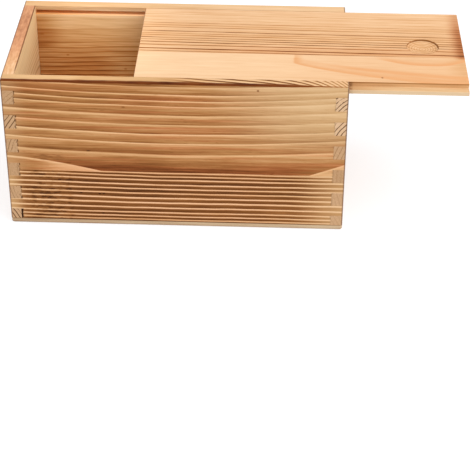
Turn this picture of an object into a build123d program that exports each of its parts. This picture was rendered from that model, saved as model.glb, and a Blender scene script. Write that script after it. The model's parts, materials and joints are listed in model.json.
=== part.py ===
from build123d import *
import os

# A wooden box whose lid slides out along +X. Millimetres, +Z up. The origin is the centre
# of the underside, the closed end faces -X and the open end faces +X, front is -Y.

# Walls
box_length = 250.0        # outside, closed end to open end
box_width = 130.0         # outside, front to back
wall_height = 118.0       # all four walls, standing on the bottom board
board_thickness = 9.0     # front, back and both ends
wall_ease = 0.5           # chamfer on the walls' outer arrises
panel_glue_z = 47.0       # height of the glue line between the two staves of the front and back

# Corner joints: the end boards' fingers pass through slots in the front and back
finger_pitch = 20.2
finger_height = 11.2
finger_top_drop = 8.6     # wood left above the highest finger
shortest_finger = 2.0     # no finger is cut shorter than this
slot_overcut = 0.3        # each slot is a shaving deeper than the end board is thick

# Bottom board, glued and pinned under the walls
bottom_thickness = 4.0
bottom_corner_radius = 2.0
bottom_ease = 0.8         # chamfer round its lower edge

# Pins that hold the bottom board: headed brads driven up into the walls
pin_length = 16.0
pin_radius = 0.6
pin_head_radius = 1.1
pin_head_height = 0.8
pin_set = 0.3             # heads set below the underside
pin_hole_clearance = 0.05
pin_corner_inset = 30.0   # from the box's outer corner to the nearest pin
pins_along_side = 3
pins_along_end = 2

# Lid grooves in the front and back
lip_height = 3.4          # wood above the groove
groove_height = 3.8
groove_depth = 6.0

# Lid
lid_open = 86.0           # how far it is drawn out of the closed place
lid_flat_clearance = 0.2  # above and below the tongues
lid_edge_clearance = 0.4  # between a tongue's edge and the groove's bottom
lid_lip_clearance = 0.4   # between the raised field and the lips
lid_end_clearance = 0.3   # between the closed lid and the closed end
lid_ease = 0.4
lid_front_stave_width = 44.8  # from the front tongue's edge to the lid's glue line

# Thumb recess in the lid
thumb_radius = 11.7
thumb_inset = 30.0        # from the lid's outer end to the recess's centre
thumb_depth = 2.2         # at the middle of its dished floor
thumb_rim = 1.0           # height of its straight rim

# Places that follow from the sizes
end_x = box_length / 2
side_y = box_width / 2
inner_end_x = end_x - board_thickness
inner_side_y = side_y - board_thickness
wall_bottom = bottom_thickness
wall_top = wall_bottom + wall_height
lip_underside = wall_top - lip_height
groove_floor = lip_underside - groove_height
tongue_y = inner_side_y + groove_depth - lid_edge_clearance
field_y = inner_side_y - lid_lip_clearance
lid_underside = groove_floor + lid_flat_clearance
tongue_top = lip_underside - lid_flat_clearance
lid_inner_x = -inner_end_x + lid_end_clearance + lid_open
lid_outer_x = end_x + lid_open
lid_glue_y = -tongue_y + lid_front_stave_width
wall_middle = board_thickness / 2
beyond = 1.0              # how far a cutter runs past the wood it cuts


def block(x_span, y_span, z_span):
    """A box between two corners, given as (low, high) along each axis."""
    sizes = [high - low for low, high in (x_span, y_span, z_span)]
    centre = [(high + low) / 2 for low, high in (x_span, y_span, z_span)]
    return Pos(*centre) * Box(*sizes)


def eased(solid, size, z_levels):
    """The solid with its upright edges and those at the given ends of Z chamfered."""
    edges = solid.edges().filter_by(Axis.Z)
    for level in z_levels:
        edges += solid.edges().group_by(Axis.Z)[level]
    return chamfer(edges, size)


def finger_spans():
    """(low, high) of each end-board finger, from the top down."""
    spans = []
    high = wall_top - finger_top_drop
    while high - wall_bottom >= shortest_finger:
        spans.append((max(high - finger_height, wall_bottom), high))
        high -= finger_pitch
    return spans


def pin_places():
    """(x, y) of each pin, on the middle of the walls."""
    places = []
    for side in (-1, 1):
        reach = end_x - pin_corner_inset
        for index in range(pins_along_side):
            along = -reach + 2 * reach * index / (pins_along_side - 1)
            places.append((along, side * (side_y - wall_middle)))
        reach = side_y - pin_corner_inset
        for index in range(pins_along_end):
            along = -reach + 2 * reach * index / (pins_along_end - 1)
            places.append((side * (end_x - wall_middle), along))
    return places


def pin(clearance=0.0):
    """One brad, head down and set into the underside. With a clearance it is its hole's cutter."""
    shank_height = pin_length - pin_head_height
    shank = Cylinder(pin_radius + clearance, shank_height, align=(Align.CENTER, Align.CENTER, Align.MIN))
    head_height = pin_head_height
    head_bottom = pin_set
    if clearance:
        head_height += pin_set + beyond
        head_bottom -= pin_set + beyond
    head = Cylinder(pin_head_radius + clearance, head_height, align=(Align.CENTER, Align.CENTER, Align.MIN))
    return Pos(0, 0, head_bottom) * head + Pos(0, 0, pin_set + pin_head_height) * shank


def pin_holes():
    """The cutters for every pin hole."""
    return [Pos(x, y, 0) * pin(pin_hole_clearance) for x, y in pin_places()]


def wall_envelope():
    """The outside of the four walls together, with its arrises eased."""
    outside = block((-end_x, end_x), (-side_y, side_y), (wall_bottom, wall_top))
    return eased(outside, wall_ease, z_levels=[-1])


def front_panel():
    """The front, whole: finger slots at both ends and the lid groove inside its top."""
    panel = block((-end_x, end_x), (-side_y, -inner_side_y), (wall_bottom, wall_top))
    slot_depth = board_thickness + slot_overcut
    for low, high in finger_spans():
        for x_span in ((-end_x - beyond, -end_x + slot_depth), (end_x - slot_depth, end_x + beyond)):
            panel -= block(x_span, (-side_y - beyond, -inner_side_y + beyond), (low, high))
    groove_y = (-inner_side_y - groove_depth, -inner_side_y + beyond)
    panel -= block((-inner_end_x, end_x + beyond), groove_y, (groove_floor, lip_underside))
    return panel & wall_envelope()


def stave(panel, low, high):
    """The part of a panel between two heights, drilled for the pins."""
    piece = panel & block((-end_x, end_x), (-side_y, side_y), (low, high))
    return piece - pin_holes()


def end_board(outer_x, top):
    """An end board with its fingers, whose outer face is at outer_x."""
    inner_x = outer_x - board_thickness if outer_x > 0 else outer_x + board_thickness
    x_span = (min(inner_x, outer_x), max(inner_x, outer_x))
    board = block(x_span, (-inner_side_y, inner_side_y), (wall_bottom, top))
    for low, high in finger_spans():
        board += block(x_span, (-side_y, side_y), (low, high))
    return (board & wall_envelope()) - pin_holes()


def bottom_board():
    """The thin board under the walls, flush with them all round."""
    board = block((-end_x, end_x), (-side_y, side_y), (0, bottom_thickness))
    board = fillet(board.edges().filter_by(Axis.Z), bottom_corner_radius)
    board = chamfer(board.edges().group_by(Axis.Z)[0], bottom_ease)
    return board - pin_holes()


def bottom_pins():
    """All the brads, each a solid of its own."""
    return Compound(children=[Pos(x, y, 0) * pin() for x, y in pin_places()])


def thumb_recess():
    """The cutter for the thumb recess: a straight rim over a dished floor."""
    dish_depth = thumb_depth - thumb_rim
    dish_radius = (thumb_radius**2 + dish_depth**2) / (2 * dish_depth)
    place = Pos(lid_outer_x - thumb_inset, 0, wall_top)
    rim = Cylinder(thumb_radius, 2 * (thumb_depth + beyond))
    return place * (rim & Pos(0, 0, dish_radius - thumb_depth) * Sphere(dish_radius))


def lid():
    """The lid, whole: a raised field between two tongues, rabbeted along both sides."""
    x_span = (lid_inner_x, lid_outer_x)
    field = eased(block(x_span, (-field_y, field_y), (lid_underside, wall_top)), lid_ease, z_levels=[0, -1])
    tongues = eased(block(x_span, (-tongue_y, tongue_y), (lid_underside, tongue_top)), lid_ease, z_levels=[0, -1])
    return field + tongues - thumb_recess()


def lid_stave(y_span):
    """The part of the lid between two places across it."""
    return lid() & block((lid_inner_x, lid_outer_x), y_span, (lid_underside, wall_top))


def pieces():
    """Every separate piece of the box, by name."""
    front = front_panel()
    back = mirror(front, Plane.XZ)
    return {
        "front_upper_stave": stave(front, panel_glue_z, wall_top),
        "front_lower_stave": stave(front, wall_bottom, panel_glue_z),
        "back_upper_stave": stave(back, panel_glue_z, wall_top),
        "back_lower_stave": stave(back, wall_bottom, panel_glue_z),
        "closed_end": end_board(-end_x, wall_top),
        "open_end": end_board(end_x, groove_floor),
        "bottom_board": bottom_board(),
        "bottom_pins": bottom_pins(),
        "lid_front_stave": lid_stave((-tongue_y, lid_glue_y)),
        "lid_rear_stave": lid_stave((lid_glue_y, tongue_y)),
    }


os.makedirs("parts", exist_ok=True)
for name, shape in pieces().items():
    export_step(shape, f"parts/{name}.step")
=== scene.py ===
import json
import math
import random
import bmesh
import bpy
from mathutils import Matrix, Vector
from mathutils.bvhtree import BVHTree

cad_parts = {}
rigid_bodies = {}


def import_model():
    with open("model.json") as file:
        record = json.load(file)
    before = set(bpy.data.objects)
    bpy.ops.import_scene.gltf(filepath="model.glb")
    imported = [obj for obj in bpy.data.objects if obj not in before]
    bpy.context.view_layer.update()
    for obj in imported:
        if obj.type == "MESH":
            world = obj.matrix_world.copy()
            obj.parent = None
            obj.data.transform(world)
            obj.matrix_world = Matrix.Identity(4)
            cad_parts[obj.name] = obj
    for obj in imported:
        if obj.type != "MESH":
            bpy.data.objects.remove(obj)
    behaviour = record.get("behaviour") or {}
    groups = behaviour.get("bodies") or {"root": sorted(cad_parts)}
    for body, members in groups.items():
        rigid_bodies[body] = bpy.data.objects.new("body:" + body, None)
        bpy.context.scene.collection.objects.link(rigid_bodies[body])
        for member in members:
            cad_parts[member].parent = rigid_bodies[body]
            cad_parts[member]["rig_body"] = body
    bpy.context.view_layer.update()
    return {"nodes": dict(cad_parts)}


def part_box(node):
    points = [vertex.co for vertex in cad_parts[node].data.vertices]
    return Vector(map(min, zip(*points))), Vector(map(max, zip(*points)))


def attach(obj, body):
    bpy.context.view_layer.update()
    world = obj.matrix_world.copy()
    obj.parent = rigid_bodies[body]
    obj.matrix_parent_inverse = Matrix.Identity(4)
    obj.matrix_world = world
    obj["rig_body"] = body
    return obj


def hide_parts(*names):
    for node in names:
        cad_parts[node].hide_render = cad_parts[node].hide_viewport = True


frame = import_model()
scene = bpy.context.scene
mm = 0.001


def span(node):
    # a board's lowest and highest corner, in millimetres
    low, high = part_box(node)
    return low / mm, high / mm


# What the saw took, in millimetres; every other size is read from the frame
cuts = {
    "grooveHeight": 3.8,
    "grooveDepth": 6.0,
    "rabbetHeight": 3.6,  # from the lid's top down to its tongues
    "rabbetWidth": 6.0,
    "fingerDrop": 8.6,  # from the walls' top down to the highest finger
    "fingerPitch": 20.2,
    "fingerShare": 0.55,  # of the pitch that is finger, the rest being slot
}

frontLow, frontHigh = span("front_upper_stave")
backHigh = span("back_upper_stave")[1]
lidLow, lidHigh = span("lid_rear_stave")
closedLow, closedHigh = span("closed_end")
openHigh = span("open_end")[1]
boxEnd = frontHigh.x  # half the box's length
boxSide = backHigh.y  # half its width
wallTop = frontHigh.z
wallBottom = closedLow.z
glueHeight = frontLow.z  # glue line between the front's two staves
grooveFloor = openHigh.z  # the open end stops where the lid's grooves start
grooveRoof = grooveFloor + cuts["grooveHeight"]
lidGlue = lidLow.y  # glue line between the lid's two staves
tongueTop = lidHigh.z - cuts["rabbetHeight"]
lidField = lidHigh.y - cuts["rabbetWidth"]  # half the width of the lid's raised field
lidFrontEdge = -lidHigh.y  # edge of the lid's front tongue
boardThickness = frontHigh.y - frontLow.y
fingerTop = wallTop - cuts["fingerDrop"]
print("frame loaded:", len(frame["nodes"]), "nodes")


# Shader maths: a wire is one node's output, and arithmetic on it adds the nodes
class Wire:
    def __init__(self, finish, output):
        self.finish = finish
        self.output = output

    def __rsub__(self, other):
        return self.finish.maths("SUBTRACT", other, self)

    def __neg__(self):
        return self.finish.maths("MULTIPLY", self, -1.0)

    def __abs__(self):
        return self.finish.maths("ABSOLUTE", self)


def operator(operation):
    # the method behind one sign of arithmetic
    return lambda wire, other: wire.finish.maths(operation, wire, other)


operations = {"add": "ADD", "radd": "ADD", "sub": "SUBTRACT", "mul": "MULTIPLY", "truediv": "DIVIDE",
              "pow": "POWER", "gt": "GREATER_THAN"}
for sign, operation in operations.items():
    setattr(Wire, f"__{sign}__", operator(operation))


def step(value, start, end):
    # 0 at start, 1 at end, smooth between
    inputs = {"Value": value, "From Min": start, "From Max": end}
    return value.finish.node("MapRange", {"interpolation_type": "SMOOTHSTEP"}, inputs)


def between(value, low, high, soft):
    # 1 from low to high, fading over soft beyond each
    return step(value, low - soft, low) * (1 - step(value, high, high + soft))


def fade(value, ends):
    # a step where two numbers are given, and a stretch with soft ends where there are three
    return between(value, *ends) if len(ends) == 3 else step(value, *ends)


def most(first, second):
    return first.finish.maths("MAXIMUM", first, second)


def length(first, second):
    square = first * first + second * second
    return square.finish.maths("SQRT", square)


class Finish:
    def __init__(self, name):
        self.material = bpy.data.materials.new(name)
        self.material.use_nodes = True
        self.tree = self.material.node_tree
        self.tree.nodes.clear()

    def pick(self, sockets, key):
        # the socket in use that has this name or place
        used = [one for one in sockets if one.enabled]
        return used[key] if isinstance(key, int) else next(one for one in used if one.name == key)

    def node(self, kind, settings, inputs, result=0):
        made = self.tree.nodes.new("ShaderNode" + kind)
        for name, value in settings.items():
            if name == "stops":
                self.fillRamp(made.color_ramp, value)
            else:
                setattr(made, name, value)
        for key, value in inputs.items():
            socket = self.pick(made.inputs, key)
            if isinstance(value, Wire):
                self.tree.links.new(value.output, socket)
            else:
                socket.default_value = value
        return Wire(self, self.pick(made.outputs, result))

    def fillRamp(self, ramp, stops):
        while len(ramp.elements) < len(stops):
            ramp.elements.new(0.5)
        for element, (position, colour) in zip(ramp.elements, stops):
            element.position = position
            element.color = colour

    def maths(self, operation, *values):
        wide = any(isinstance(v, Wire) and v.output.type == "VECTOR" for v in values)
        if wide:
            values = [v if isinstance(v, Wire) else (v, v, v) for v in values]
        kind = "VectorMath" if wide else "Math"
        return self.node(kind, {"operation": operation}, dict(enumerate(values)))

    def blend(self, base, over, share):
        settings = {"data_type": "RGBA"}
        return self.node("Mix", settings, {"Factor": share, "A": base, "B": over})

    def surface(self, colour, roughness, height, relief):
        # the closing shader: colour and roughness vary, height in shares of the relief (mm)
        bump = self.node("Bump", {}, {"Strength": 1.0, "Distance": relief * mm, "Height": height})
        looks = {"Base Color": colour, "Roughness": roughness, "Normal": bump}
        shader = self.node("BsdfPrincipled", {}, looks)
        output = self.tree.nodes.new("ShaderNodeOutputMaterial")
        self.tree.links.new(shader.output, output.inputs["Surface"])
        return shader.output.node


def hexColour(code):
    # an sRGB code as the linear colour that the nodes take
    def linear(part):
        value = int(part, 16) / 255
        return value / 12.92 if value <= 0.04045 else ((value + 0.055) / 1.055) ** 2.4
    return (linear(code[0:2]), linear(code[2:4]), linear(code[4:6]), 1.0)


def ramp(codes):
    # evenly spaced ramp stops
    colours = [hexColour(code) for code in codes.split()]
    return [(index / (len(colours) - 1), colour) for index, colour in enumerate(colours)]


# What all the boards share: each ramp runs from untouched early wood to scorched late wood
pine = {
    "torched": ramp("EBC096 DAAD7C C59564 AF7B49 946033 72441E 40200C"),
    "foxy": ramp("EDBE98 DCA577 C98A5A B26E41 98572E 753E1B 42200C"),
    "spared": ramp("E6C69E DAB689 C79E6E AF8458 8C6339"),
    "plain": ramp("EBC8A0 DFB388 CE9A67 B67C48 925C2F 643615"),
    "inside": ramp("EDC89A DFB481 C9965F B0733E 8E5325 633212"),
    "toast": ramp("E6B88E D6A179 C28A64 A87352 88543C"),
    "sawn": ramp("D6BF9F C3A888 A8896A 80634C"),
    "endGrain": ramp("E4C5A2 CDA680 AD855E 785838 452C18"),
    "sear": ramp("B07A46 8E5526 6E3510 481C06 2A0E02"),
    # dust in the finger joints, and painted shade in the slots' open corners
    "dust": "4A2A14",
    "smoke": "64463A",
    "specular": 0.06,
    "roughness": 0.54,
    "relief": 0.1,  # mm between the softest and the hardest wood
}


class Wood(Finish):
    # solid wood: everything is worked out from where a point lies in the board, in millimetres
    def __init__(self, name, grain, seed):
        super().__init__(name)
        place = self.node("TexCoord", {}, {}, "Object") * (1 / mm)
        self.place = [self.node("SeparateXYZ", {}, {"Vector": place}, axis) for axis in "XYZ"]
        self.x, self.y, self.z = self.place
        self.along, self.deep = (self.x, self.y) if grain == "x" else (self.y, self.x)
        self.seed = seed

    def noise(self, along, across, detail=2.0):
        # grain-long noise around 0, its size in mm along and across the grain
        self.seed += 1
        vector = self.node("CombineXYZ", {}, {
            "X": self.along / along + self.seed * 7.31,
            "Y": self.deep / across,
            "Z": self.z / across,
        })
        inputs = {"Vector": vector, "Scale": 1.0, "Detail": detail, "Roughness": 0.55}
        return self.node("TexNoise", {}, inputs) * 2 - 1

    def chance(self, number):
        # a number from 0 to 1 that is the same all over one ring
        self.seed += 1
        return self.node("TexWhiteNoise", {"noise_dimensions": "1D"}, {"W": number + self.seed * 3.7})

    def stepped(self, field, heights, values):
        # values[0] below the first height, then values[1], and so on
        total = values[0]
        for height, before, after in zip(heights, values, values[1:]):
            if after != before:
                total = (field > height) * (after - before) + total
        return total

    def listedRings(self, field, lines):
        # rings whose light or dark lines are given as (height, width, strength)
        heights, widths, strengths = [list(column) for column in zip(*lines)]
        below = [2 * heights[0] - heights[1]] + heights
        above = heights + [2 * heights[-1] - heights[-2]]
        values = {
            "low": below,
            "high": above,
            "thick": [high - low for low, high in zip(below, above)],
            "number": range(len(below)),
            "lowWidth": widths[:1] + widths,
            "highWidth": widths + widths[-1:],
            "lowStrength": strengths[:1] + strengths,
            "highStrength": strengths + strengths[-1:],
        }
        rings = {name: self.stepped(field, heights, listed) for name, listed in values.items()}
        return rings | {"up": field - rings["low"], "down": rings["high"] - field}

    def evenRings(self, field, thick, width, strength):
        # rings of one thickness
        count = field / thick
        share = self.maths("FRACT", count)
        rings = {"up": share * thick, "down": (1 - share) * thick, "thick": thick}
        rings["number"] = self.maths("FLOOR", count)
        rings["lowWidth"] = rings["highWidth"] = width
        rings["lowStrength"] = rings["highStrength"] = strength
        return rings

    def lines(self, rings, sharp, soft):
        # 1 on the line between two rings: sharp on its upper side, soft on its lower
        low = 1 - step(rings["up"], rings["lowWidth"] * 0.2, rings["lowWidth"] * 0.2 + sharp)
        high = 1 - step(rings["down"], rings["highWidth"] * 0.3, rings["highWidth"] * 0.5 + soft)
        return most(low * rings["lowStrength"], high * rings["highStrength"])

    def heart(self, centre, tilt, bow):
        # distance from the tree's heart, which runs aslant and bowed beside the board
        deep = self.deep - (self.along * tilt[0] + self.along * self.along * bow[0] + centre[0])
        high = self.z - (self.along * tilt[1] + self.along * self.along * bow[1] + centre[1])
        return length(deep, high)

    def fibres(self):
        coarse = self.noise(42, 1.5, 2.0)
        middling = self.noise(24, 0.6, 2.0)
        fine = self.noise(9, 0.32, 1.0)
        return coarse * 0.7 + middling * 0.5 + fine * 0.3

    def ducts(self):
        # short dark resin ducts along the grain
        return step(self.noise(5, 0.45, 0.0), 0.5, 0.72)

    def speck(self, first, firstSize, second, secondSize):
        # 1 in a small spot, from two distances to its middle
        return 1 - step(length(first / firstSize, second / secondSize), 0.45, 1.15)

    def where(self, along, up=None):
        # 1 inside a place on the board, given along the box, up it, or both
        shares = [fade(value, ends) for value, ends in ((self.x, along), (self.z, up)) if ends]
        return math.prod(shares[1:], start=shares[0])

    def shaded(self, tone, shades):
        # the tone made darker or paler in some places
        for along, up, darker in shades:
            tone += self.where(along, up) * darker
        return tone

    def onTop(self):
        return step(self.z, wallTop - 0.55, wallTop - 0.3)

    def inGroove(self, inward):
        # inward is the distance from the board's outer face
        start = boardThickness - cuts["grooveDepth"]
        inSpan = between(self.z, grooveFloor, grooveRoof, 0.1)
        return inSpan * step(inward, start - 0.1, start + 0.1)

    def tones(self, tone, kind):
        return self.node("ValToRGB", {"stops": pine[kind]}, {"Fac": tone})

    def mixed(self, tone, first, second, share):
        return self.blend(self.tones(tone, first), self.tones(tone, second), share)

    # The board's colour is built up coat by coat
    def cover(self, over, share):
        self.colour = self.blend(self.colour, over, share)

    def coat(self, tone, kind, share):
        self.cover(self.tones(tone, kind), share)

    def stain(self, code, share):
        self.cover(hexColour(code), share)

    def torched(self, tone, redder=0.0):
        # yellower and redder scorching drift into each other along the grain
        share = step(self.noise(110, 2.6, 2.0) + redder, -0.35, 0.5)
        self.colour = self.mixed(tone, "torched", "foxy", share)

    def slotDustAndShade(self):
        # dark marks in the finger slots, more of them at the closed end: dust along the joints, and
        # painted shade in the slots' open corners
        slotEnd = boxEnd - boardThickness
        crossing = between(abs(self.x), slotEnd - 0.7, slotEnd + 0.5, 0.15)
        crossing = crossing * step(abs(self.y), boxSide - 2.0, boxSide - 1.0)
        share = self.maths("FRACT", (fingerTop - self.z) / cuts["fingerPitch"])
        finger = cuts["fingerShare"]
        corners = most(between(share, 0.01, 0.08, 0.03),
                            between(share, finger - 0.1, finger - 0.02, 0.03))
        loose = between(share, 0.0, finger, 0.02) * step(self.noise(40, 1.5, 1.0), 0.0, 0.25)
        dustAndShade = most(corners * step(self.noise(40, 6, 0.0), -0.35, 0.05), loose * 0.8)
        closedSide = step(self.x, 0, -1) * 0.6 + 0.2
        self.stain(pine["dust"], crossing * dustAndShade * closedSide)

    def smokedArris(self):
        # the outer arrises at both ends of the box, greyed by smoke and handling
        end = step(abs(self.x), boxEnd - 1.3, boxEnd - 0.4)
        side = step(abs(self.y), boxSide - 1.0, boxSide - 0.3)
        top = step(self.z, wallTop - 1.0, wallTop - 0.3)
        self.stain(pine["smoke"], end * most(side, top * 0.9) * 0.78)

    def ends(self, low, high, grain):
        # end grain over both ends of a board that lies along x
        atHigh = step(self.x, high - 0.35, high - 0.1)
        atLow = 1 - step(self.x, low + 0.1, low + 0.35)
        tone = grain * 0.5 + self.noise(6, 2.0) * 0.15 + 0.25
        self.coat(tone, "endGrain", most(atHigh, atLow))

    def wear(self, tone):
        # the closing steps of every board
        roughness = self.noise(20, 2.5) * 0.16 + pine["roughness"] + tone * 0.1
        height = self.fibres() * 0.5 - tone * 0.8
        shader = self.surface(self.colour, roughness, height, pine["relief"])
        shader.inputs["Specular IOR Level"].default_value = pine["specular"]
        return self.material

    def wallEnds(self, grain, tone):
        self.ends(-boxEnd, boxEnd, grain)
        self.smokedArris()
        return self.wear(tone)


def torchedTone(wood, rings, settings):
    # torched wood: darkest above each light line, fading upwards to the next
    share = rings["up"] / rings["thick"]
    scorch = (1 - share) ** settings["fall"]
    luck = wood.chance(rings["number"]) - 0.5
    tone = settings["pale"] + scorch * (settings["dark"] - settings["pale"]) + luck * settings["luck"]
    return tone + wood.noise(100, 2.4, 3.0) * settings["blotch"] + wood.fibres() * settings["fibre"]


frontUpper = {
    # light lines at mid length: height, width, strength
    "lines": (
        (30, 1, 0), (46.7, 0.8, 0.9), (62.2, 2.2, 0.7), (72, 0.7, 0.85), (79.8, 0.7, 0.9),
        (87.4, 1.2, 0.6), (95.3, 1.8, 0.75), (103.2, 0.6, 0.85), (107.7, 0.5, 0.9), (112.5, 0.6, 0.95),
        (118.9, 0.6, 0.45), (127, 1, 0),
    ),
    "bend": 3.4e-4,  # how fast the rings rise towards both ends, per mm
    "bendMiddle": -3,
    "flatBelow": 54,  # the lowest ring stays level
    "lean": -0.2,  # rise of the rings from the face inwards
    "tone": {"pale": 0.34, "dark": 0.67, "fall": 1, "luck": 0.08, "blotch": 0.2, "fibre": 0.3},
    # the broad ring above the glue line took the flame deepest
    "broadRing": ((-75, 70, 40), (60, 49)),  # along, up
    # places whose rings are darker or paler: along, up, by how much
    "shades": (((30, 80), (76, 66), -0.07), ((78, 100), (73, 94, 4), 0.05)),
    "closedBands": ((5, -25), (94, 99), (50, 67, 3)),  # two bands are darker towards the closed end
    # the flame hardly touched the upper right, so its rings stay pale
    "spared": ((52, 142), (60, 92)),
    "leftWedge": (59.4, 0.085, 0.0012),  # pale wedge's top at the left end, and how it drops
    "rightWedge": (57.6, 0.38),
    "paleCorner": (-105, -124),
    "licks": ((-102, -85, 4), (56.5, 60.5, 1.2)),
    "knot": (60, 117.6),
    "dashes": ((-64, 64.5), (-37, 102)),
    "stain": "7A4A26",  # of the licks of soot and the knot
    "bareFrom": (3.5, 6.5),  # how deep the flame's colour goes
    "barePitch": 2.3,
    "fan": (-25, 150, 30),  # where the top face's rings start to run out, how far, how steeply
    "fanPitch": 4.3,
    "topShade": (-62, -8, 14),
    "topGreyer": (15, -20),
    "groove": "B4783E",
    # the scorched top arris: how far in and down the flame reached, and where it did so more and less
    "sear": {"in": 3.3, "down": 1.1, "wide": (-78, 50, 45), "narrow": (70, 124), "faint": (104, 124),
             "dark": (-90, 68, 30), "darkEnd": (-96, -116)},
}


def paintFrontUpper(part=frontUpper):
    wood = Wood("frontUpperPine", "x", 10)
    x, y, z = wood.place
    inward = y - frontLow.y
    fromMiddle = x - part["bendMiddle"]
    wander = wood.noise(90, 24, 1) * 0.8 + wood.noise(22, 5, 1) * 0.25
    rise = fromMiddle * fromMiddle * part["bend"] * step(z, glueHeight, part["flatBelow"])
    field = z - rise + inward * part["lean"] + wander
    rings = wood.listedRings(field, part["lines"])
    tone = torchedTone(wood, rings, part["tone"])
    broad = wood.where(*part["broadRing"])
    tone = wood.shaded(tone + broad * 0.13, part["shades"])
    along, upper, lower = part["closedBands"]
    banded = fade(x, along) * most(fade(z, upper), fade(z, lower))
    tone += banded * 0.07
    along, up = part["spared"]
    spared = fade(x + z * 0.35, along) * fade(z, up)
    light = wood.lines(rings, 0.35, 1) * (wood.noise(30, 3) * 0.25 + 0.9)
    light *= 1 - spared * 0.78 - banded * 0.14
    tone -= light * (tone - 0.03) * 0.9
    for dashX, dashZ in part["dashes"]:
        tone += wood.speck(x - dashX, 1.6, z - dashZ, 0.5) * 0.27
    # pale wedges under the lowest ring, at both ends
    fromLeft = x + boxEnd
    start, drop, curve = part["leftWedge"]
    leftTop = start - fromLeft * drop - fromLeft * fromLeft * curve
    start, drop = part["rightWedge"]
    rightTop = start - (boxEnd - x) * drop
    edge = most(leftTop, rightTop) - z + wander * 0.4
    wedge = step(edge, -0.2, 0.4)
    browner = step(edge, 0.8, 2.4) * (step(fromLeft, 44, 18) * 0.3 + 0.08)
    below = browner + wood.noise(16, 1.1) * 0.12 + wood.fibres() * 0.16 + 0.14
    tone += wedge * (below - tone)
    tone += wood.ducts() * 0.14
    wood.torched(tone, broad * 0.5 - 0.12)
    wood.coat(tone * 0.75, "spared", spared * 0.92)
    wood.coat(tone * 0.8, "spared", wood.where(part["paleCorner"]) * 0.4)
    # three licks of soot and a pin knot
    soot = step(wood.noise(6, 1.3, 1), -0.25, 0.3) * wood.where(*part["licks"])
    knotX, knotZ = part["knot"]
    knot = wood.speck(x - knotX, 1.1, z - knotZ, 1)
    wood.stain(part["stain"], most(soot * 0.62, knot * 0.8))
    # inside and on top the flame left the wood alone
    plain = wood.lines(wood.evenRings(field, part["barePitch"], 0.5, 0.8), 0.25, 0.9)
    # on top the rings run out to the front arris, ever steeper towards the open end
    fanStart, fanLength, steepness = part["fan"]
    runOut = most(x - fanStart, 0)
    fan = inward + runOut * 0.13 + (runOut / fanLength) ** 7 * steepness + wood.noise(40, 9, 1) * 0.3
    fanRings = wood.evenRings(fan, part["fanPitch"], 1, 1)
    fanLines = wood.lines(fanRings, 0.5, 1.5) * (wood.chance(fanRings["number"]) * 0.4 + 0.8)
    fanLines *= step(runOut, 8, 60) * (1.9 - step(runOut, 105, 145) * 0.9)
    onTop = wood.onTop()
    plain += onTop * (fanLines + wood.noise(40, 1.4) * 0.3 - plain)
    plainTone = plain * 0.5 + wood.fibres() * 0.16 + wood.noise(60, 6) * 0.1 + 0.16
    topShade = wood.where(part["topShade"]) * 0.08 + 0.22 - step(runOut, 20, 60) * 0.16
    plainTone += onTop * topShade
    greyer = onTop * (wood.where(part["topGreyer"]) * 0.4 + 0.35)
    bareColour = wood.mixed(plainTone, "plain", "spared", greyer)
    wood.cover(bareColour, most(onTop, fade(inward, part["bareFrom"])))
    wood.stain(part["groove"], wood.inGroove(inward) * 0.7)
    # the scorched top arris, in long lenses
    sear = part["sear"]
    lens = wood.noise(26, 60, 2) * 0.4 + wood.where(sear["wide"]) * 0.12 + 0.84
    lens -= wood.where(sear["narrow"]) * 0.5
    reach = length(inward / sear["in"], (wallTop - z) / sear["down"]) / lens
    burnt = 1 - step(reach + wood.noise(8, 1.2) * 0.2, 0.6, 1.2)
    burnt *= 1 - wood.where(sear["faint"]) * 0.35
    searTone = wood.noise(20, 2) * 0.4 + wood.where(sear["dark"]) * 0.22 + 0.34
    searTone += wood.where(sear["darkEnd"]) * 0.16
    wood.coat(searTone, "sear", burnt)
    wood.slotDustAndShade()
    return wood.wallEnds(plain, tone)


frontLower = {
    "lines": (
        (5.2, 1, 0.8), (8.2, 0.9, 0.95), (11.5, 1, 0.95), (15.8, 1.2, 1), (20.4, 1.4, 1),
        (24.6, 1.3, 1), (28.8, 1.1, 0.9), (32.7, 1.1, 0.95), (36.5, 1.1, 1), (40.7, 1.1, 0.95),
        (43.8, 0.9, 0.9), (46.6, 0.8, 0.9),
    ),
    "rise": 1.05e-4,  # how fast the rings climb towards the closed end
    "lean": -0.15,
    "tone": {"pale": 0.68, "dark": 0.78, "fall": 0.7, "luck": 0.08, "blotch": 0.1, "fibre": 0.24},
    "sparedFrom": ((-111, -124), (84, 130)),  # the flame passed by beyond these
    "shades": (
        ((-72, -18, 12), None, 0.03), ((-86, -70), (29, 46, 4), 0.055), ((-70, 60, 20), (24, 14), 0.07),
    ),
    "scorch": ((-106, -80, 5), (6, 46, 4)),
    "specks": ((-71, 28), (-57, 27.4), (-54, 27.6), (-55, 10)),
    "yellowFrom": ((-70, -100), (50, 100)),
    "bareFrom": (3.5, 6.5),
    "barePitch": 3.1,
}


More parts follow.
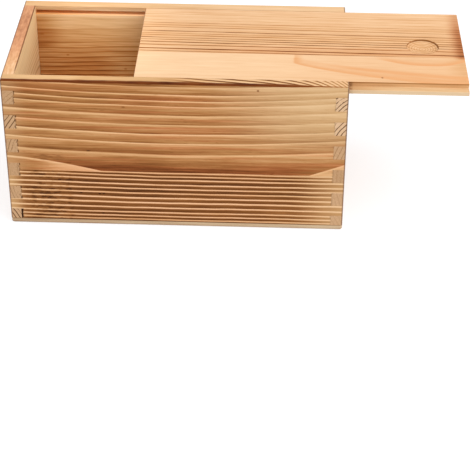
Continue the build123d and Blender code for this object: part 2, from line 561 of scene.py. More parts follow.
def paintFrontLower(part=frontLower):
    wood = Wood("frontLowerPine", "x", 40)
    x, y, z = wood.place
    inward = y - frontLow.y
    wander = wood.noise(60, 30, 1) * 0.7 + wood.noise(16, 5, 1) * 0.25
    left = most(-x, 0)
    field = z - left * left * part["rise"] + inward * part["lean"] + wander
    rings = wood.listedRings(field, part["lines"])
    tone = torchedTone(wood, rings, part["tone"])
    # each ring is darkest along its middle
    middle = rings["up"] / rings["thick"]
    tone += middle * (1 - middle) * 0.36 - 0.06
    spared = most(*[wood.where(along) for along in part["sparedFrom"]])
    tone = wood.shaded(tone * (1 - spared * 0.32), part["shades"])
    # a lick of the flame left sooty streaks in the soft wood
    soot = step(wood.noise(4.5, 1.4, 1) + wood.noise(16, 6, 1) * 0.6, -0.2, 0.4)
    soot *= wood.where(*part["scorch"])
    light = wood.lines(rings, 0.45, 0.6) * (wood.noise(25, 3) * 0.14 + 0.95)
    tone += soot * 0.16 + wood.ducts() * 0.08
    tone -= light * tone * (0.97 - soot * 0.2)
    for speckX, speckZ in part["specks"]:
        tone += wood.speck(x - speckX, 1.1, z - speckZ, 0.6) * 0.35
    tone += (1 - step(z, wallBottom + 0.1, wallBottom + 0.7)) * 0.35
    yellower = most(*[wood.where(along) for along in part["yellowFrom"]])
    redder = (light * 0.8 + 0.1) * (1 - yellower * 0.6)
    wood.colour = wood.mixed(tone, "torched", "foxy", redder)
    wood.coat(tone * 0.75 + 0.1, "spared", spared * 0.65)
    plain = wood.lines(wood.evenRings(field, part["barePitch"], 0.5, 0.8), 0.25, 0.9)
    plainTone = plain * 0.5 + wood.fibres() * 0.14 + wood.noise(60, 6) * 0.12 + 0.25
    wood.coat(plainTone, "inside", fade(inward, part["bareFrom"]))
    wood.slotDustAndShade()
    return wood.wallEnds(plain, tone)


back = {
    "lines": (
        (7.5, 0.8, 0.9), (12.5, 0.9, 0.8), (17, 0.8, 0.9), (22.5, 0.8, 0.8), (28, 0.9, 0.9),
        (33, 0.8, 0.8), (39, 0.9, 0.9), (44, 0.8, 0.8), (50, 0.9, 0.9), (57, 0.8, 0.8),
        (63, 0.8, 0.8), (66.5, 0.8, 0.9), (71, 0.8, 0.8), (74.7, 0.7, 0.8), (79, 0.8, 0.9),
        (83.5, 0.8, 0.8), (87.5, 0.8, 0.8), (92, 0.8, 0.7), (103.5, 0.7, 0.6), (112, 0.7, 0.4),
    ),
    "rise": 0.03,
    "riseFrom": -85,
    "lean": 0.12,
    "tone": {"pale": 0.34, "dark": 0.66, "fall": 1.1, "luck": 0.12, "blotch": 0.24, "fibre": 0.16},
    "lowerShift": 26,  # the lower stave was sawn from higher up in the tree's rings
    # the inner face, darker towards its foot: painted shade deep in the box
    "darkerDown": (112, 62),
    # painted light and shade on the inner face, along, up, by how much: painted shade low down, in the
    # top corner by the closed end and low left of the middle; painted light low down towards the lid,
    # against the lid's shadow; a painted highlight just below the groove
    "shades": (
        (None, (108, 98), 0.1), ((-92, -114), (88, 111, 5), 0.24), ((-90, -72, 24), (82, 74), 0.05),
        ((-70, -48), (82, 74), -0.1), (None, (grooveFloor - 3, grooveFloor - 1), -0.14),
    ),
    "bareFrom": (2.5, 5),
    "knots": ((-113, 97.6, 2.6), (-93, 79.5, 1.5), (-47.5, 68, 1.5)),  # along, up, length
    "knotStain": "9A5A28",
    # the groove's colours carry painted shade at the closed end and painted light from the middle on
    "groove": ("F0B068", "FFD3A0"),  # at the closed end, and from the middle on
    "grooveTurn": (-118, -50),
}


def paintBack(name, seed, shift, part=back):
    wood = Wood(name, "x", seed)
    x, y, z = wood.place
    inward = backHigh.y - y
    wander = wood.noise(60, 20, 1) + wood.noise(20, 6, 1) * 0.3
    field = z + shift - (x - part["riseFrom"]) * part["rise"] + inward * part["lean"] + wander
    rings = wood.listedRings(field, part["lines"])
    tone = torchedTone(wood, rings, part["tone"])
    light = wood.lines(rings, 0.5, 1)
    tone -= light * (tone - 0.05) * 0.85
    wood.torched(tone)
    plain = wood.lines(rings, 0.25, 0.8)
    # painted shade: the inner face darkens deeper in the box
    paintedDepthShade = fade(z, part["darkerDown"])
    plainTone = plain * (0.18 + paintedDepthShade * 0.16) + wood.fibres() * 0.16 + wood.noise(36, 1.8) * 0.22
    plainTone = wood.shaded(plainTone + paintedDepthShade * 0.26 + 0.19, part["shades"])
    # the top is paler bare wood; the lip above the groove is paler with painted light, as it lies in
    # shade
    onTop = wood.onTop()
    lipTone = plain * 0.3 + wood.noise(30, 1.2) * 0.26 + 0.19
    lipColour = wood.mixed(lipTone, "plain", "spared", 0.5)
    onLip = most(onTop, step(z, grooveRoof, grooveRoof + 0.1))
    insideColour = wood.blend(wood.tones(plainTone, "inside"), lipColour, onLip)
    wood.cover(insideColour, most(fade(inward, part["bareFrom"]), onTop))
    for knotX, knotZ, long in part["knots"]:
        knot = wood.speck(x - knotX, long, z - knotZ, 0.9) * step(inward, 7, 8)
        wood.stain(part["knotStain"], knot * 0.7)
    # painted shade and painted light in the groove: darker towards the closed end, brighter from the
    # middle on
    dark, lit = part["groove"]
    glow = fade(x + wood.noise(25, 3) * 12, part["grooveTurn"])
    wood.cover(wood.blend(hexColour(dark), hexColour(lit), glow), wood.inGroove(inward))
    return wood.wallEnds(plain, tone)


ends = {
    # for each board its rings, and its fingers' end grain from the lowest finger to the highest
    "closed": {"heart": (-58, 47), "tilt": (0.03, 0.02), "bow": (4e-4, 0), "ring": 2.7,
               "shades": (0.34, 0.32, 0.34, 0.34, 0.34, 0.34),
               "strokes": (0.9, 0.4, 0.25, 0.45, 0.75, 0.2), "chipShade": 1.0},
    "open": {"heart": (182, 42), "tilt": (-0.03, -0.03), "bow": (-3e-4, 0), "ring": 2.9,
             "shades": (0.24, 0.26, 0.33, 0.3, 0.21, 0.23),
             "strokes": (0.12, 0.1, 0.08, 0.25, 1.3, 1.5), "chipShade": 0.0},
    "tone": {"pale": 0.3, "dark": 0.62, "fall": 1, "luck": 0.2, "blotch": 0.24, "fibre": 0.16},
    "fingerGaps": (17, 37, 57, 77.5, 98),  # heights between the fingers
    "bareFrom": (3, 6),
    "barePitch": 2.4,
    "darkerDown": (110, 78),
    "bare": "FFDCA4",
    # the top edge, across from the front: where it is paler, bleached, less and least toasted
    "pale": (-8, -46),
    "bleached": (-36, -52),
    "backCorner": (32, 52),
    "lightBand": (-26, -4, 8),
    "arris": "6E4226",
    "arrisFrom": (-58, -44),
    # painted shade in the gap where the lowest finger's corner broke away
    "gap": "32180A",
}


def paintEnd(name, seed, part):
    wood = Wood(name, "y", seed)
    x, y, z = wood.place
    field = wood.heart(part["heart"], part["tilt"], part["bow"])
    field += wood.noise(50, 14, 1) * 1.2
    rings = wood.evenRings(field, part["ring"], 0.6, 0.9)
    tone = torchedTone(wood, rings, ends["tone"])
    light = wood.lines(rings, 0.4, 0.5)
    tone -= light * (tone - 0.08) * 0.8
    wood.torched(tone)
    # the inner face is bare, with thin brown lines
    plain = wood.lines(wood.evenRings(field, ends["barePitch"], 0.4, 1), 0.25, 0.5)
    lower = fade(z, ends["darkerDown"])
    plainTone = plain * (lower * 0.42 + 0.14) + wood.fibres() * 0.16 + wood.noise(50, 6) * 0.12 + 0.02
    inward = boxEnd - abs(x)
    onTop = wood.onTop()
    bareColour = wood.blend(wood.tones(plainTone, "inside"), hexColour(ends["bare"]), 0.4)
    wood.cover(bareColour, fade(inward, ends["bareFrom"]) * (1 - onTop))
    # the top edge is toasted a mottled reddish brown, paler towards the front
    pale = fade(y, ends["pale"])
    toast = wood.noise(7, 2.4, 3) * 0.36 + wood.fibres() * 0.2 + 0.62 - pale * 0.38
    toast -= fade(y, ends["backCorner"]) * 0.18 + fade(y, ends["lightBand"]) * 0.1
    bleached = pale * 0.6 + fade(y, ends["bleached"]) * 0.3
    wood.cover(wood.mixed(toast, "toast", "plain", bleached), onTop)
    arris = step(inward, boardThickness - 0.9, boardThickness - 0.5)
    arris *= step(z, wallTop - 0.9, wallTop - 0.5) * fade(y, ends["arrisFrom"])
    wood.stain(ends["arris"], arris * 0.85)
    # the fingers' end grain: a few thin strokes, each finger a shade of its own
    grainEnds = step(abs(y), boxSide - 0.6, boxSide - 0.3)
    strength = wood.stepped(z, ends["fingerGaps"], part["strokes"])
    strokes = wood.lines(rings, 0.15, 0.35) * strength
    strokes *= step(wood.noise(60, 2.5) * 0.8 + wood.chance(rings["number"]), 0.1, 0.5)
    shade = wood.stepped(z, ends["fingerGaps"], part["shades"])
    grain = strokes * 0.76 + shade + wood.noise(5, 1) * 0.14 + (1 - strength) * 0.1
    wood.coat(grain, "endGrain", grainEnds)
    wood.slotDustAndShade()
    wood.smokedArris()
    # where the lowest finger's corner broke away, painted shade darkens the gap
    chipShade = between(x, closedHigh.x - joinery["chip"] - 0.1, closedHigh.x + 0.1, 0.05)
    chipShade *= step(y, 1.3 - boxSide, 0.9 - boxSide)
    chipShade *= step(z, joinery["chipTop"] + 0.3, joinery["chipTop"])
    wood.stain(ends["gap"], chipShade * part["chipShade"])
    return wood.wear(tone)


bottom = {
    "heart": (10, 95),
    "tilt": (0.02, 0.06),
    "bow": (0, 1e-4),
    "ring": 3.4,
    "edgeDarkUp": (0.5, 2),  # its sawn edge is darker just above the table and towards the closed end
    "edgeDarkAlong": (60, -125),
    "seam": "8A6038",
}


def paintBottom(part=bottom):
    wood = Wood("bottomPine", "x", 90)
    x, y, z = wood.place
    field = wood.heart(part["heart"], part["tilt"], part["bow"]) + wood.noise(80, 20, 1) * 2.0
    plain = wood.lines(wood.evenRings(field, part["ring"], 0.6, 0.8), 0.3, 1)
    tone = plain * 0.3 + wood.fibres() * 0.14 + wood.noise(60, 8) * 0.14 + 0.16
    wood.colour = wood.tones(tone, "plain")
    rim = most(abs(x) - boxEnd, abs(y) - boxSide)
    onRim = step(rim, -1.2, -0.5)
    edgeDarkening = (1 - fade(z, part["edgeDarkUp"])) * 0.32 + fade(x, part["edgeDarkAlong"]) * 0.22
    edge = wood.noise(30, 1.2, 3) * 0.34 + wood.fibres() * 0.15 + edgeDarkening + 0.34
    wood.coat(edge, "sawn", onRim)
    seam = onRim * step(z, wallBottom - 0.7, wallBottom - 0.1)
    wood.stain(part["seam"], seam * 0.8)
    return wood.wear(tone)


lidRear = {
    # brown lines at the lid's middle: place across the lid from the box's front, width, strength
    "lines": (
        (40, 1, 0), (49.7, 0.8, 0.8), (53.8, 1.5, 1), (59.7, 0.8, 0.8), (64.2, 0.9, 1),
        (67.9, 0.7, 0.75), (71.3, 0.8, 0.8), (75.3, 0.6, 0.6), (78.3, 0.6, 0.5), (82.2, 0.8, 0.8),
        (88.6, 0.7, 0.65), (92.2, 0.6, 0.45), (95.8, 0.6, 0.45), (100.6, 0.6, 0.25), (105.2, 0.5, 0.1),
        (110.8, 0.8, 0.3), (114.5, 0.6, 0.12), (118.5, 0.6, 0.1),
    ),
    "drift": 0.0135,  # how far the lines move across per mm along, from the lid's middle
    "middle": 42,
    "lean": 2.6,  # how far the lines move across as a cut goes deeper
    "hairPitch": 1.55,
    # places across the lid, from the box's front
    "hairsFrom": (126, 98),
    "browner": ((104, 74), (60, 50)),
    "paleStrip": ((49, 56, 2), (60, -10)),  # beside the glue line: across, along
    "warmStrip": ((49, 58, 5), (-20, 60)),
    "burntEnd": 9.5,
    "burntLess": (78, 122),
}

recess = {
    "inset": 30,  # from the lid's outer end to the recess's centre
    "radius": 11.72,
    "rim": 1,  # height of its straight rim
    "depth": 2.22,
    "markPitch": 1.9,  # between the rings that the cutter left in its floor
    "mark": 0.05,
    "sides": 96,
    "rings": 26,
    # the cutter scorched its far and outer rim: angles round it, and the two hottest arcs
    "scorched": (-0.5, 2.9, 0.4),
    "hot": ((0.9, 1.9, 0.4), (-0.15, 0.75, 0.25)),
    "rimStain": "A06A38",
    "scorchStain": "80501F",
}


def paintLidRear(part=lidRear):
    wood = Wood("lidRearPine", "x", 120)
    x, y, z = wood.place
    fromFront = y + boxSide
    depth = lidHigh.z - z
    wander = wood.noise(90, 30, 1) * 0.45 + wood.noise(22, 5, 1) * 0.22
    field = fromFront + (x - part["middle"]) * part["drift"] + depth * part["lean"] + wander
    rings = wood.listedRings(field, part["lines"])
    lines = wood.lines(rings, 0.6, 0.55)
    patch = wood.noise(26, 3, 2)
    hair = wood.evenRings(field + wood.noise(40, 5, 1) * 0.7, part["hairPitch"], 0.2, 1)
    hairs = wood.lines(hair, 0.25, 0.35) * wood.chance(hair["number"])
    hairs *= fade(fromFront, part["hairsFrom"])
    tone = lines * (0.62 + patch * 0.4) + hairs * 0.28 + wood.fibres() * 0.24 + patch * 0.06 + 0.17
    for across in part["browner"]:
        tone += fade(fromFront, across) * 0.05
    across, along = part["paleStrip"]
    tone -= fade(fromFront, across) * fade(x, along) * 0.07
    wood.colour = wood.tones(tone, "plain")
    across, along = part["warmStrip"]
    warmth = fade(fromFront, across) * fade(x, along)
    wood.coat(tone * 0.8, "foxy", warmth * 0.4)
    # the outer end was held to the flame
    burn = step(lidHigh.x - x + wood.noise(60, 4) * 2.5, part["burntEnd"] + 3, 1.5)
    burn *= 1 - fade(fromFront, part["burntLess"]) * 0.4
    wood.coat(tone * 0.6 + burn * 0.22 + 0.19, "foxy", burn * 0.95)
    # the thumb recess: a clean dished floor inside a scorched rim
    centreX = lidHigh.x - recess["inset"]
    fromCentre = length(x - centreX, y)
    inside = 1 - step(fromCentre, recess["radius"] - 0.3, recess["radius"] + 0.05)
    marks = wood.maths("SINE", fromCentre * (2 * math.pi / recess["markPitch"]))
    floorTone = marks * 0.1 + lines * 0.18 + wood.noise(7, 1.6) * 0.22 + 0.28
    wood.coat(floorTone, "plain", inside * 0.9)
    angle = wood.maths("ARCTAN2", y, x - centreX)
    hot = most(*[fade(angle, arc) for arc in recess["hot"]])
    around = {"W": angle * 5, "Scale": 1, "Detail": 2.0}
    spots = wood.node("TexNoise", {"noise_dimensions": "1D"}, around)
    fromRim = abs(fromCentre - recess["radius"])
    rim = 1 - step(fromRim - hot * 0.14, 0.05, 0.4)
    rim *= fade(angle, recess["scorched"]) * step(spots + hot * 0.25, 0.3, 0.6)
    wood.stain(recess["rimStain"], (1 - step(fromRim, 0.1, 0.5)) * 0.45)
    wood.stain(recess["scorchStain"], rim * (hot * 0.3 + 0.4))
    # side of the raised field and the tongue below it
    wall = step(y, lidField - 0.15, lidField) * step(z, tongueTop, tongueTop + 0.1)
    wood.coat(tone * 0.6 + 0.3, "inside", wall * 0.8)
    wood.ends(lidLow.x, lidHigh.x, lines)
    return wood.wear(tone + rim * 0.4)


lidFront = {
    "tongueTip": 84.5,  # where the flame figure's tip lies along the lid
    # squared half width of the flame figure where its tip ends, and its growth along x
    "outer": (150, 14.8),
    "inner": (20, 7.4),
    "flame": "DA9F6C",
    "secondArc": (187, 34.6, 0.0057, 0.0137),  # its lowest point, and how it opens to each side
    "secondFrom": (142, 160),
    "warmer": ((20, 170), (192, 211)),
    "faintPitch": 6.5,
    "faintFrom": (26, 12),  # across, from the box's front
    "knot": (149, 15.6),
    "knotStain": "A06B42",
    "cornerStain": "B4703C",
    "nearBox": (165, 127),
    # painted shade on the field's side where the lid enters the box
    "boxEntryShade": "6E4220",
    "boxEntryShadeFrom": (128.5, 126),
    "tongueEdge": "D8BE9C",
}


def paintLidFront(part=lidFront):
    wood = Wood("lidFrontPine", "x", 150)
    x, y, z = wood.place
    fromFront = y + boxSide
    depth = lidHigh.z - z
    wander = wood.noise(30, 7, 2)
    # one broad flame figure, its tip towards the closed end: 1 at its outer edge, 0 at its inner
    past = most(x - part["tongueTip"] - depth * 4 + wander * 2, 0)
    off = lidGlue - y + wander * 0.7
    innerStart, innerGrowth = part["inner"]
    outerStart, outerGrowth = part["outer"]
    innerEdge = past * innerGrowth + innerStart
    outerEdge = past * outerGrowth + outerStart
    share = (off * off - innerEdge) / (outerEdge - innerEdge)
    begun = step(past, 0, 2)
    edge = step(share, 0.25, 0.95) * (1 - step(share, 0.98, 1.1))
    nested = between(share, 0, 0.12, 0.22) * step(past, 18, 50)
    third = between(share, 0.42, 0.5, 0.16) * step(past, 60, 95)
    tip = (1 - step(past, 2, 9)) * (1 - step(share, 0.9, 1.1))
    figure = most(most(edge, nested * 0.9), most(tip * 0.9, third * 0.8)) * begun
    body = between(share, 0, 0.95, 0.3) * begun
    # and a second arc nearer the outer end
    arcX, arcY, openLeft, openRight = part["secondArc"]
    fromArc = x - arcX
    opening = step(fromArc, -1, 1) * (openRight - openLeft) + openLeft
    arc = fromFront - arcY - fromArc * fromArc * opening + wander * 0.8
    second = step(arc, -0.6, 0.3) * step(arc, 8, 1) * fade(x, part["secondFrom"])
    streaks = wood.noise(45, 1.3, 2)
    flame = most(figure * (streaks * 0.5 + 0.8), second * 1.3) * 0.85 + body * 0.4
    tone = wood.fibres() * 0.13 + wander * 0.06 + 0.08
    for along in part["warmer"]:
        tone += fade(x, along) * 0.12
    faintField = fromFront + wood.noise(90, 20, 1) * 3
    faint = wood.lines(wood.evenRings(faintField, part["faintPitch"], 1.2, 0.5), 1, 2)
    tone += faint * 0.1 * fade(fromFront, part["faintFrom"])
    wood.colour = wood.tones(tone, "plain")
    wood.stain(part["flame"], flame * 0.9)
    knotX, knotY = part["knot"]
    knot = wood.speck(x - knotX, 0.9, fromFront - knotY, 1.5) * (1 - step(depth, 0.4, 0.8))
    wood.stain(part["knotStain"], knot * 0.9)
    # the flame caught the outer corner beside the glue line
    corner = step(x, lidHigh.x - 9, lidHigh.x - 2) * step(y, lidGlue - 4, lidGlue)
    wood.stain(part["cornerStain"], corner * 0.8)
    # side of the raised field, amber from the torch, and the tongue below it
    wall = 1 - step(y, -lidField, 0.15 - lidField)
    upper = step(z, tongueTop, tongueTop + 0.1)
    nearBox = fade(x, part["nearBox"])
    # painted shade: the field's side darker just under its top arris
    arris = step(z, lidHigh.z - 1.8, lidHigh.z - 0.8)
    amber = wood.noise(30, 1.5, 2) * 0.2 + arris * 0.32 + nearBox * 0.06 + 0.2
    wood.coat(amber, "torched", wall * upper)
    shelfTone = wood.noise(40, 1.5, 2) * 0.3 + wood.fibres() * 0.14 + nearBox * 0.02 + 0.27
    shelf = wood.tones(shelfTone, "spared")
    shelf = wood.blend(shelf, wood.tones(shelfTone + 0.05, "torched"), nearBox * 0.7 + 0.2)
    wood.cover(shelf, wall * (1 - upper) * 0.85)
    # painted shade on the field's side just at the box's end, where the lid enters it
    boxEntryShade = wall * fade(x, part["boxEntryShadeFrom"]) * step(wood.noise(6, 2), -0.6, 0.2)
    wood.stain(part["boxEntryShade"], boxEntryShade * 0.6)
    tongueEdge = 1 - step(y, lidFrontEdge + 0.1, lidFrontEdge + 0.4)
    wood.stain(part["tongueEdge"], tongueEdge * 0.7)
    wood.ends(lidLow.x, lidHigh.x, faint)
    return wood.wear(tone)


pinSteel = {
    "bright": "B9B6B0",
    "dull": "7E7A73",
    "scratch": (0.6, 0.12),  # mm along and across the wire
    "relief": 0.01,
}


def paintPins(part=pinSteel):
    steel = Wood("pinSteel", "x", 180)
    scratch = steel.noise(*part["scratch"], 3.0)
    dulled = step(scratch, -0.4, 0.5)
    colour = steel.blend(hexColour(part["bright"]), hexColour(part["dull"]), dulled)
    shader = steel.surface(colour, scratch * 0.2 + 0.36, scratch, part["relief"])
    shader.inputs["Metallic"].default_value = 1.0
    return steel.material


# Boards
joinery = {
    "softArris": 0.12,  # what a sanding block takes off every free arris
    "contact": 0.35,  # an arris this near to another board is a joint and stays crisp
    "fingerPlay": 0.1,  # how far a finger's end may stop short of the face
    "seed": 7,
    "chip": 1.0,  # broken off the lowest finger's corner at the closed end
    "chipTop": 12.0,  # height under which that corner is looked for
    "slotGap": (0.02, 0.12),  # what glue and dust left open at the bottom of each finger slot
    "slotBand": 20.0,  # corners in one band of this height belong to one slot
    "weld": 0.002,  # corners of a solid's mesh this near are one
    "join": 0.01,  # and so are corners this near when the board is done, which leaves no sliver
    "shortest": 1.5,  # a shorter arris stays crisp
    # in degrees: how level two faces are that are one, the fold of an arris, and where shading breaks
    "level": 0.5,
    "fold": 30.0,
    "crease": 40.0,
}
luck = random.Random(joinery["seed"])


def meshOf(work, name):
    mesh = bpy.data.meshes.new(name)
    work.to_mesh(mesh)
    work.free()
    return mesh


def placed(name, data):
    made = bpy.data.objects.new(name, data)
    scene.collection.objects.link(made)
    return made


def treeOf(node):
    work = bmesh.new()
    work.from_mesh(frame["nodes"][node].data)
    tree = BVHTree.FromBMesh(work)
    work.free()
    return tree


wooden = [name for name in frame["nodes"] if name != "bottom_pins"]
trees = {name: treeOf(name) for name in wooden}


def inJoint(edge, node):
    # whether two of three places along the edge lie against another board of the same body
    body = frame["nodes"][node]["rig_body"]
    others = [trees[name] for name in wooden if name != node and frame["nodes"][name]["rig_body"] == body]
    first, last = [vert.co for vert in edge.verts]
    near = 0
    for share in (0.2, 0.5, 0.8):
        found = [tree.find_nearest(first.lerp(last, share), joinery["contact"] * mm) for tree in others]
        near += any(hit[0] is not None for hit in found)
    return near >= 2


def seatFingers(work):
    # a finger's end seldom lies dead flush: each stops a hair short of the face
    for face in work.faces:
        side = face.normal.y
        if abs(side) > 0.99 and abs(face.calc_center_median().y) > (boxSide - 0.05) * mm:
            back = luck.uniform(0.3, 1.0) * joinery["fingerPlay"] * mm
            for vert in face.verts:
                vert.co.y -= math.copysign(back, side)


def fillSlots(work):
    # glue and dust fill most of the shaving by which each slot was cut too deep
    slots = {}
    for vert in work.verts:
        past = abs(vert.co.x) / mm - (boxEnd - boardThickness)
        if -0.5 < past < -0.1:
            slot = (vert.co.x > 0, round(vert.co.z / mm / joinery["slotBand"]))
            gap = slots.setdefault(slot, luck.uniform(*joinery["slotGap"]))
            vert.co.x = math.copysign(boxEnd - boardThickness - gap, vert.co.x) * mm


def chipFinger(work):
    # the lowest finger's inner corner broke away, which leaves a gap beside it, its shade painted on the
    # end board
    def atCorner(edge):
        first, last = [vert.co / mm for vert in edge.verts]
        middle = (first + last) / 2
        upright = abs(first.x - last.x) < 0.01
        atFace = abs(middle.x - closedHigh.x) < 0.05 and middle.y < -boxSide + 0.3
        return upright and atFace and middle.z < joinery["chipTop"] and edge.calc_length() > 4 * mm
    corner = [edge for edge in work.edges if atCorner(edge)]
    bmesh.ops.bevel(work, geom=corner, offset=joinery["chip"] * mm, segments=2, profile=0.4,
                    affect="EDGES")
    print("chipped corners:", len(corner))


def latheCutter():
    # the thumb recess as the cutter left it: straight rim, dished floor with ring marks
    radius = recess["radius"]
    dish = recess["depth"] - recess["rim"]
    dishRadius = (radius * radius + dish * dish) / (2 * dish)
    profile = [(0.0, 1.0), (radius, 1.0), (radius, -recess["rim"])]
    for index in range(1, recess["rings"]):
        out = radius * (1 - index / recess["rings"])
        mark = recess["mark"] * math.cos(2 * math.pi * out / recess["markPitch"])
        profile.append((out, dishRadius - math.sqrt(dishRadius**2 - out**2) - recess["depth"] + mark))
    profile.append((0.0, -recess["depth"]))
    work = bmesh.new()
    centre = Vector((lidHigh.x - recess["inset"], 0.0, lidHigh.z))
    line = [work.verts.new((centre + Vector((out, 0.0, up))) * mm) for out, up in profile]
    edges = [work.edges.new(pair) for pair in zip(line, line[1:])]
    bmesh.ops.spin(work, geom=line + edges, cent=centre * mm, axis=(0, 0, 1), angle=2 * math.pi,
                   steps=recess["sides"])
    bmesh.ops.remove_doubles(work, verts=work.verts, dist=joinery["weld"] * mm)
    bmesh.ops.recalc_face_normals(work, faces=work.faces)
    return placed("thumbCutter", meshOf(work, "thumbCutter"))


def cutRecess(mesh):
    # the lid's mesh with the recess cut again, round and with its tool marks
    blank = placed("lidBlank", mesh)
    cutter = latheCutter()
    cut = blank.modifiers.new("recess", "BOOLEAN")
    cut.object = cutter
    cut.operation = "DIFFERENCE"
    cut.solver = "EXACT"
    depsgraph = bpy.context.evaluated_depsgraph_get()
    result = bpy.data.meshes.new_from_object(blank.evaluated_get(depsgraph))
    bpy.data.objects.remove(blank)
    bpy.data.meshes.remove(cutter.data)
    print("recess cut:", len(result.polygons), "faces")
    return result


def joinCorners(mesh):
    work = bmesh.new()
    work.from_mesh(mesh)
    bmesh.ops.dissolve_degenerate(work, dist=joinery["join"] * mm, edges=work.edges)
    work.to_mesh(mesh)
    work.free()


def board(node, material, extra=None):
    # the board's own mesh: its solid made whole again, its free arrises softened
    source = frame["nodes"][node]
    work = bmesh.new()
    work.from_mesh(source.data)
    bmesh.ops.remove_doubles(work, verts=work.verts, dist=joinery["weld"] * mm)
    level = math.radians(joinery["level"])
    bmesh.ops.dissolve_limit(work, angle_limit=level, verts=work.verts, edges=work.edges)
    if extra is fillSlots:
        fillSlots(work)
    if extra in (seatFingers, chipFinger):
        seatFingers(work)
    if extra is chipFinger:
        chipFinger(work)
    fold = math.radians(joinery["fold"])
    sharp = [edge for edge in work.edges if len(edge.link_faces) == 2 and edge.calc_face_angle() > fold]
    long = [edge for edge in sharp if edge.calc_length() > joinery["shortest"] * mm]
    free = [edge for edge in long if not inJoint(edge, node)]
    bmesh.ops.bevel(work, geom=free, offset=joinery["softArris"] * mm, offset_type="OFFSET",
                    segments=2, profile=0.5, affect="EDGES", clamp_overlap=True)
    mesh = meshOf(work, node + "_wood")
    if extra is cutRecess:
        mesh = cutRecess(mesh)
        mesh.name = node + "_wood"
    joinCorners(mesh)
    piece = placed(node + "_wood", mesh)
    for face in mesh.polygons:
        face.use_smooth = True
    mesh.set_sharp_from_angle(angle=math.radians(joinery["crease"]))
    even = piece.modifiers.new("evenShading", "WEIGHTED_NORMAL")
    even.keep_sharp = True
    mesh.materials.clear()
    mesh.materials.append(material)
    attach(piece, source["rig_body"])
    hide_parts(node)
    print("board:", node, len(mesh.polygons), "faces")


board("front_upper_stave", paintFrontUpper(), fillSlots)
board("front_lower_stave", paintFrontLower(), fillSlots)
board("back_upper_stave", paintBack("backUpperPine", 60, 0.0), fillSlots)
board("back_lower_stave", paintBack("backLowerPine", 66, back["lowerShift"]), fillSlots)
board("closed_end", paintEnd("closedEndPine", 70, ends["closed"]), chipFinger)
board("open_end", paintEnd("openEndPine", 80, ends["open"]), seatFingers)
board("bottom_board", paintBottom())
board("lid_front_stave", paintLidFront())
board("lid_rear_stave", paintLidRear(), cutRecess)

pins = frame["nodes"]["bottom_pins"]
pins.data.materials.clear()
pins.data.materials.append(paintPins())
print("pins finished")


# Floor, light and camera
studio = {
    "floorSize": 30.0,
    "floor": "A6A9AD",
    "cloud": "A2A5A9",
    "floorDrop": 0.0002,  # below the box, so that the two faces don't flicker
    "glow": 0.65,  # the table is lit from below, which keeps its shadows faint
    "ambient": 0.72,
    "key": {"place": (0.8, -0.6, 1.75), "aim": (0.03, 0.0, 0.06),
            "size": 1.6, "spread": 180.0, "power": 20.0},
    # a narrow beam into the open part of the box
    "accent": {"place": (-0.1, -0.62, 1.0), "aim": (-0.074, 0.04, 0.082),
               "size": 0.07, "spread": 6.5, "power": 0.0175},
    # from the open side, so that the drawn lid throws no shadow below it
    "side": {"place": (1.3, -0.1, 0.5), "aim": (0.16, 0.0, 0.0),
             "size": 0.8, "spread": 180.0, "power": 4.5},
    # from the closed side, so that the floor there stays bright
    "fill": {"place": (-1.4, -0.4, 0.6), "aim": (-0.16, 0.0, 0.0),
             "size": 1.0, "spread": 180.0, "power": 7.0},
}


def softbox(name):
    settings = studio[name]
    lamp = bpy.data.lights.new(name, "AREA")
    lamp.shape = "SQUARE"
    lamp.size = settings["size"]
    lamp.spread = math.radians(settings["spread"])
    lamp.energy = settings["power"]
    holder = placed(name, lamp)
    holder.location = settings["place"]
    holder.visible_camera = False
    towards = Vector(settings["aim"]) - holder.location
    holder.rotation_euler = towards.to_track_quat("-Z", "Y").to_euler()


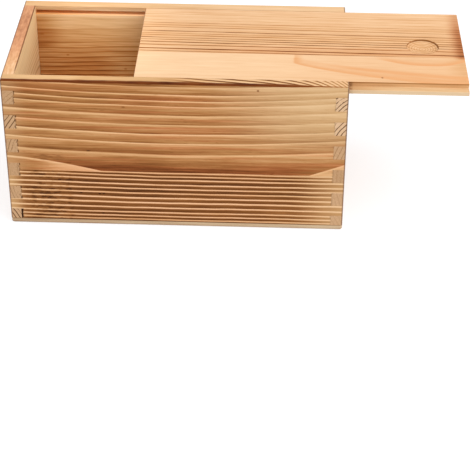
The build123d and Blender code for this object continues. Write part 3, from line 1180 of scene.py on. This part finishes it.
def studioFloor():
    work = bmesh.new()
    bmesh.ops.create_grid(work, x_segments=2, y_segments=2, size=studio["floorSize"] / 2)
    mesh = meshOf(work, "studioFloor")
    floor = placed("studioFloor", mesh)
    floor.location.z = -studio["floorDrop"]
    paper = Finish("studioPaper")
    place = paper.node("TexCoord", {}, {}, "Object")
    cloud = paper.node("TexNoise", {}, {"Vector": place, "Scale": 3.0, "Detail": 2.0})
    colour = paper.blend(hexColour(studio["floor"]), hexColour(studio["cloud"]), cloud * 0.4)
    shader = paper.surface(colour, cloud * 0.1 + 0.75, cloud, 0.01)
    shader.inputs["Emission Color"].default_value = (1.0, 1.0, 1.0, 1.0)
    shader.inputs["Emission Strength"].default_value = studio["glow"]
    mesh.materials.append(paper.material)


def studioSky():
    world = bpy.data.worlds.new("studioSky")
    scene.world = world
    world.use_nodes = True
    nodes = world.node_tree.nodes
    backdrop = nodes["Background"]
    backdrop.inputs["Color"].default_value = (1.0, 1.0, 1.0, 1.0)
    path = nodes.new("ShaderNodeLightPath")
    strength = nodes.new("ShaderNodeMapRange")
    strength.inputs["To Min"].default_value = studio["ambient"]
    strength.inputs["To Max"].default_value = 1.0
    world.node_tree.links.new(path.outputs["Is Camera Ray"], strength.inputs["Value"])
    world.node_tree.links.new(strength.outputs["Result"], backdrop.inputs["Strength"])


view = {
    "aim": (42.786, -15.0, -41.224),  # mm
    "distance": 1246.15,
    "azimuth": 1.737,  # degrees
    "elevation": 34.266,
    "roll": 0.399,
    "lens": 119.71,
    "sensor": 36.0,
}


def placeCamera():
    azimuth, elevation, roll = [math.radians(view[name]) for name in ("azimuth", "elevation", "roll")]
    right = Vector((math.cos(azimuth), math.sin(azimuth), 0.0))
    level = Vector((math.sin(azimuth), -math.cos(azimuth), 0.0))
    back = level * math.cos(elevation) + Vector((0.0, 0.0, math.sin(elevation)))
    up = back.cross(right)
    turnedRight = right * math.cos(roll) + up * math.sin(roll)
    turnedUp = up * math.cos(roll) - right * math.sin(roll)
    camera = placed("studioCamera", bpy.data.cameras.new("studioCamera"))
    camera.data.lens = view["lens"]
    camera.data.sensor_width = view["sensor"]
    camera.data.clip_end = 100.0
    place = (Vector(view["aim"]) + back * view["distance"]) * mm
    axes = Matrix((turnedRight, turnedUp, back)).transposed().to_4x4()
    camera.matrix_world = Matrix.Translation(place) @ axes
    scene.camera = camera


studioFloor()
studioSky()
for lampName in ("key", "accent", "side", "fill"):
    softbox(lampName)
placeCamera()
scene.view_settings.view_transform = "Standard"
print("studio set")
